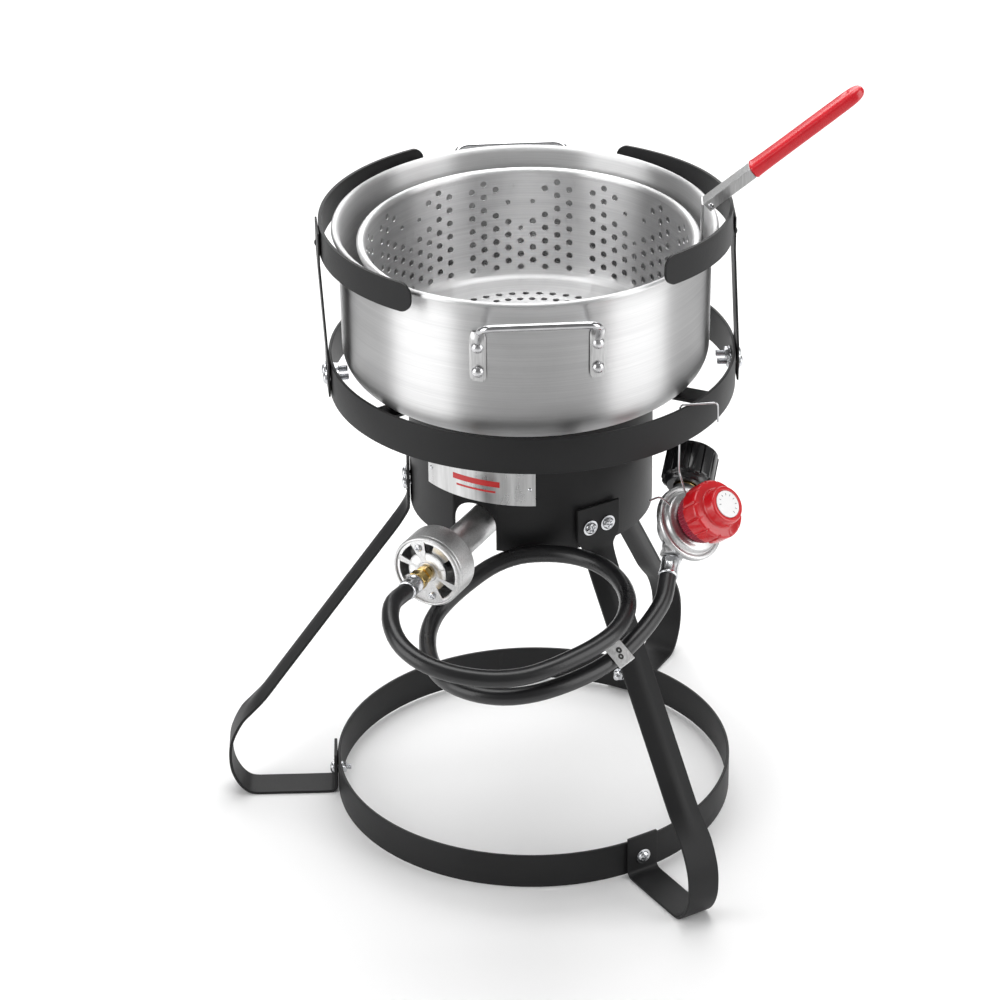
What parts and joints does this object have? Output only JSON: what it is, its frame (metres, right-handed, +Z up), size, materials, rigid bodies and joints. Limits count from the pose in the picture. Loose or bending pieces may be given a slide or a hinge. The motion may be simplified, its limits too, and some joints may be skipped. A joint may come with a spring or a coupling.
{
  "type": "outdoor fish and turkey fryer",
  "caption": "Outdoor gas fryer: three-legged ring stand with shrouded burner, hose and regulator, aluminium fry pot and lift-out strainer basket.",
  "frame": {"origin": "centre of the kit's bounding box without its hose, on the floor", "axes": "+Z up, front towards -Y, basket handle towards +X"},
  "size_m": [0.5162, 0.5121, 0.6312],
  "materials": {
    "black_coat": "matt high-heat coating",
    "zinc_plate": "bright zinc",
    "spun_aluminium": "spun, brushed in circles",
    "cast_aluminium": "die cast",
    "cast_iron": "rough",
    "chrome_wire": "polished",
    "brass": "machined",
    "hose_rubber": "satin",
    "brushed_plate": "brushed",
    "red_plastic": "gloss",
    "red_vinyl": "satin",
    "black_nut_plastic": "gloss",
    "white_label": "plain"
  },
  "bodies": {
    "stand": {"bolt_foot_front": "zinc_plate", "bolt_foot_left": "zinc_plate", "bolt_foot_rear": "zinc_plate", "bolt_leg_front_1": "zinc_plate", "bolt_leg_front_2": "zinc_plate", "bolt_leg_left_1": "zinc_plate", "bolt_leg_left_2": "zinc_plate", "bolt_leg_rear_1": "zinc_plate", "bolt_leg_rear_2": "zinc_plate", "bolt_upright_left_1": "zinc_plate", "bolt_upright_left_2": "zinc_plate", "bolt_upright_right_1": "zinc_plate", "bolt_upright_right_2": "zinc_plate", "bottom_ring": "black_coat", "burner_head": "cast_iron", "burner_tube": "cast_aluminium", "ferrule_burner": "zinc_plate", "ferrule_regulator": "zinc_plate", "gas_hose": "hose_rubber", "hanger_wire": "chrome_wire", "hose_tag": "brushed_plate", "inlet_nipple": "brass", "leg_front": "black_coat", "leg_left": "black_coat", "leg_rear": "black_coat", "mixer_face": "cast_aluminium", "nameplate": "brushed_plate", "orifice_fitting": "brass", "regulator_body": "cast_aluminium", "retaining_arc_left": "black_coat", "retaining_arc_right": "black_coat", "shutter_screw_1": "zinc_plate", "shutter_screw_2": "zinc_plate", "support_bar_1": "black_coat", "support_bar_2": "black_coat", "support_bar_3": "black_coat", "top_ring": "black_coat", "upright_left": "black_coat", "upright_right": "black_coat", "wind_shroud": "black_coat"},
    "pot": {"bracket_front_1": "spun_aluminium", "bracket_front_2": "spun_aluminium", "bracket_rear_1": "spun_aluminium", "bracket_rear_2": "spun_aluminium", "fry_pot": "spun_aluminium", "pot_handle_front": "chrome_wire", "pot_handle_rear": "chrome_wire"},
    "basket": {"basket_foot_1": "spun_aluminium", "basket_foot_2": "spun_aluminium", "basket_foot_3": "spun_aluminium", "basket_strap": "spun_aluminium", "handle_channel": "spun_aluminium", "handle_grip": "red_vinyl", "strainer_basket": "spun_aluminium"},
    "knob": {"regulator_knob": "red_plastic", "knob_label": "white_label"},
    "nut": {"coupling_nut": "black_nut_plastic"},
    "shutter": {"air_shutter": "brushed_plate"}
  },
  "joints": [
    {"name": "pot_lift", "type": "slide", "parent": "stand", "child": "pot", "axis": [0, 0, 1], "range_m": [0, 0.25]},
    {"name": "basket_lift", "type": "slide", "parent": "pot", "child": "basket", "axis": [0, 0, 1], "range_m": [0, 0.15]},
    {"name": "knob_turn", "type": "hinge", "parent": "stand", "child": "knob", "pos_m": [0.12318, -0.11865, 0.311], "axis": [0.5843, -0.5112, 0.6303], "range_deg": [-120, 600]},
    {"name": "nut_spin", "type": "hinge", "parent": "stand", "child": "nut", "pos_m": [0.11383, -0.11047, 0.30091], "axis": [0.1991, 0.8426, 0.5004], "continuous": true},
    {"name": "shutter_turn", "type": "hinge", "parent": "stand", "child": "shutter", "pos_m": [-0.08124, -0.15737, 0.2925], "axis": [-0.4617, -0.887, 0], "range_deg": [-20, 20]}
  ]
}
